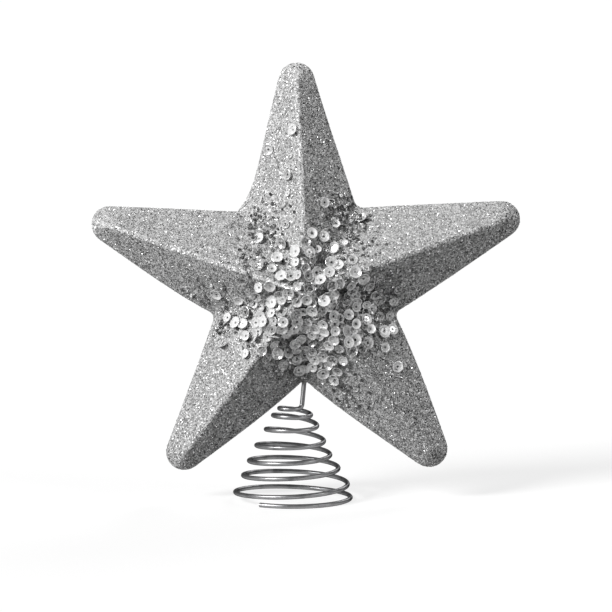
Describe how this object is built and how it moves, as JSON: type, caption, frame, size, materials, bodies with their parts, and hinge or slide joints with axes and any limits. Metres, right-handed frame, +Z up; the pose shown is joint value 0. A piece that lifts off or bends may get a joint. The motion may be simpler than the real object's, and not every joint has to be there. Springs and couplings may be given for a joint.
{
  "type": "star tree topper",
  "caption": "Five-point silver glitter star trimmed with cup sequins, on a conical wire spring that slips over the tip of a tree and lets the star bob, nod and sway.",
  "frame": {"origin": "middle of the overall box in X and Y, on the plane that the spring's flat foot turn stands on", "axes": "+Z up towards the star's top point, -Y out of the star's sequinned front, +X to the right seen from the front"},
  "size_m": [0.2027, 0.0566, 0.2074],
  "materials": {
    "silver_glitter": "matte",
    "sequin_foil": "gloss",
    "spring_steel": "satin",
    "glue": "gloss"
  },
  "bodies": {
    "foot": {"spring_wire_foot_turns": "spring_steel"},
    "lower_coil": {"spring_wire_lower_turns": "spring_steel"},
    "upper_coil": {"spring_wire_upper_turns": "spring_steel"},
    "star": {"spring_wire_stem": "spring_steel", "star_body": "silver_glitter", "glue_drop": "glue", "sequin_01": "sequin_foil", "sequin_02": "sequin_foil", "sequin_03": "sequin_foil", "sequin_04": "sequin_foil", "sequin_05": "sequin_foil", "sequin_06": "sequin_foil", "sequin_07": "sequin_foil", "sequin_08": "sequin_foil", "sequin_09": "sequin_foil", "sequin_10": "sequin_foil", "sequin_11": "sequin_foil", "sequin_12": "sequin_foil", "sequin_13": "sequin_foil", "sequin_14": "sequin_foil", "sequin_15": "sequin_foil", "sequin_16": "sequin_foil", "sequin_17": "sequin_foil", "sequin_18": "sequin_foil", "sequin_19": "sequin_foil", "sequin_20": "sequin_foil", "sequin_21": "sequin_foil", "sequin_22": "sequin_foil", "sequin_23": "sequin_foil", "sequin_24": "sequin_foil", "sequin_25": "sequin_foil", "sequin_26": "sequin_foil", "sequin_27": "sequin_foil", "sequin_28": "sequin_foil", "sequin_29": "sequin_foil", "sequin_30": "sequin_foil", "sequin_31": "sequin_foil", "sequin_32": "sequin_foil", "sequin_33": "sequin_foil", "sequin_34": "sequin_foil", "sequin_35": "sequin_foil", "sequin_36": "sequin_foil", "sequin_37": "sequin_foil", "sequin_38": "sequin_foil", "sequin_39": "sequin_foil", "sequin_40": "sequin_foil"}
  },
  "joints": [
    {"name": "bob", "type": "slide", "parent": "foot", "child": "lower_coil", "axis": [0, 0, 1], "range_m": [-0.004, 0.004], "stiffness_N_per_m": 600, "springref_m": 0.0008},
    {"name": "nod", "type": "hinge", "parent": "lower_coil", "child": "upper_coil", "pos_m": [-0.0052, 0, 0.02127], "axis": [1, 0, 0], "range_deg": [-8, 8], "stiffness_Nm_per_rad": 0.28},
    {"name": "sway", "type": "hinge", "parent": "upper_coil", "child": "star", "pos_m": [-0.0052, 0, 0.03073], "axis": [0, 1, 0], "range_deg": [-8, 8], "stiffness_Nm_per_rad": 0.28, "springref_deg": -0.52}
  ]
}
